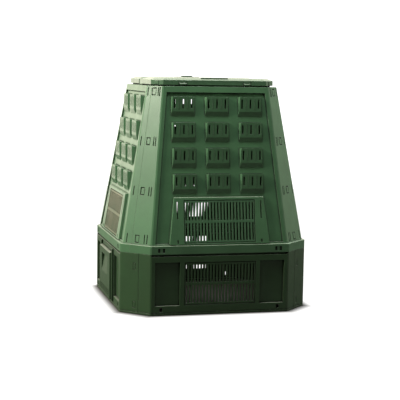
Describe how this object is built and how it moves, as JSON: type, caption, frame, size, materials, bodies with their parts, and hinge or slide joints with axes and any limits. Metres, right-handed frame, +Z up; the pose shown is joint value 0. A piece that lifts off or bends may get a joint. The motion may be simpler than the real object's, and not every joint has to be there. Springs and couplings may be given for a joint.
{
  "type": "compost bin",
  "caption": "Tapered square garden compost bin of clipped plastic panels with louvred vents, slotted grilles, lift-up base hatches and a split hinged lid.",
  "frame": {"origin": "on the ground at the middle of the base", "axes": "+Z up, -Y out of the front wall, X across it"},
  "size_m": [0.892, 0.86, 1.0428],
  "materials": {
    "wall_plastic": "satin",
    "base_plastic": "satin",
    "vent_plastic": "satin",
    "lid_plastic": "satin",
    "clip_plastic": "satin"
  },
  "bodies": {
    "bin": {"base_back": "base_plastic", "base_front": "base_plastic", "base_left": "base_plastic", "base_right": "base_plastic", "base_vent_back": "base_plastic", "base_vent_front": "base_plastic", "clip_back_a": "clip_plastic", "clip_back_b": "clip_plastic", "clip_front_a": "clip_plastic", "clip_front_b": "clip_plastic", "clip_left_a": "clip_plastic", "clip_left_b": "clip_plastic", "clip_right_a": "clip_plastic", "clip_right_b": "clip_plastic", "hinge_pin_back_a": "clip_plastic", "hinge_pin_back_b": "clip_plastic", "hinge_pin_front_a": "clip_plastic", "hinge_pin_front_b": "clip_plastic", "lid_bar": "lid_plastic", "vent_back": "vent_plastic", "vent_front": "vent_plastic", "vent_left": "vent_plastic", "vent_right": "vent_plastic", "wall_back": "wall_plastic", "wall_front": "wall_plastic", "wall_left": "wall_plastic", "wall_right": "wall_plastic"},
    "leaf_front": {"lid_leaf_front": "lid_plastic"},
    "leaf_back": {"lid_leaf_back": "lid_plastic"},
    "hatch_left_body": {"hatch_left": "base_plastic"},
    "hatch_right_body": {"hatch_right": "base_plastic"}
  },
  "joints": [
    {"name": "leaf_front_hinge", "type": "hinge", "parent": "bin", "child": "leaf_front", "pos_m": [0, -0.036, 1.024], "axis": [-1, 0, 0], "range_deg": [0, 90]},
    {"name": "leaf_back_hinge", "type": "hinge", "parent": "bin", "child": "leaf_back", "pos_m": [0, 0.036, 1.024], "axis": [1, 0, 0], "range_deg": [0, 90]},
    {"name": "hatch_left_slide", "type": "slide", "parent": "bin", "child": "hatch_left_body", "axis": [0, 0, 1], "range_m": [0, 0.2]},
    {"name": "hatch_right_slide", "type": "slide", "parent": "bin", "child": "hatch_right_body", "axis": [0, 0, 1], "range_m": [0, 0.2]}
  ]
}
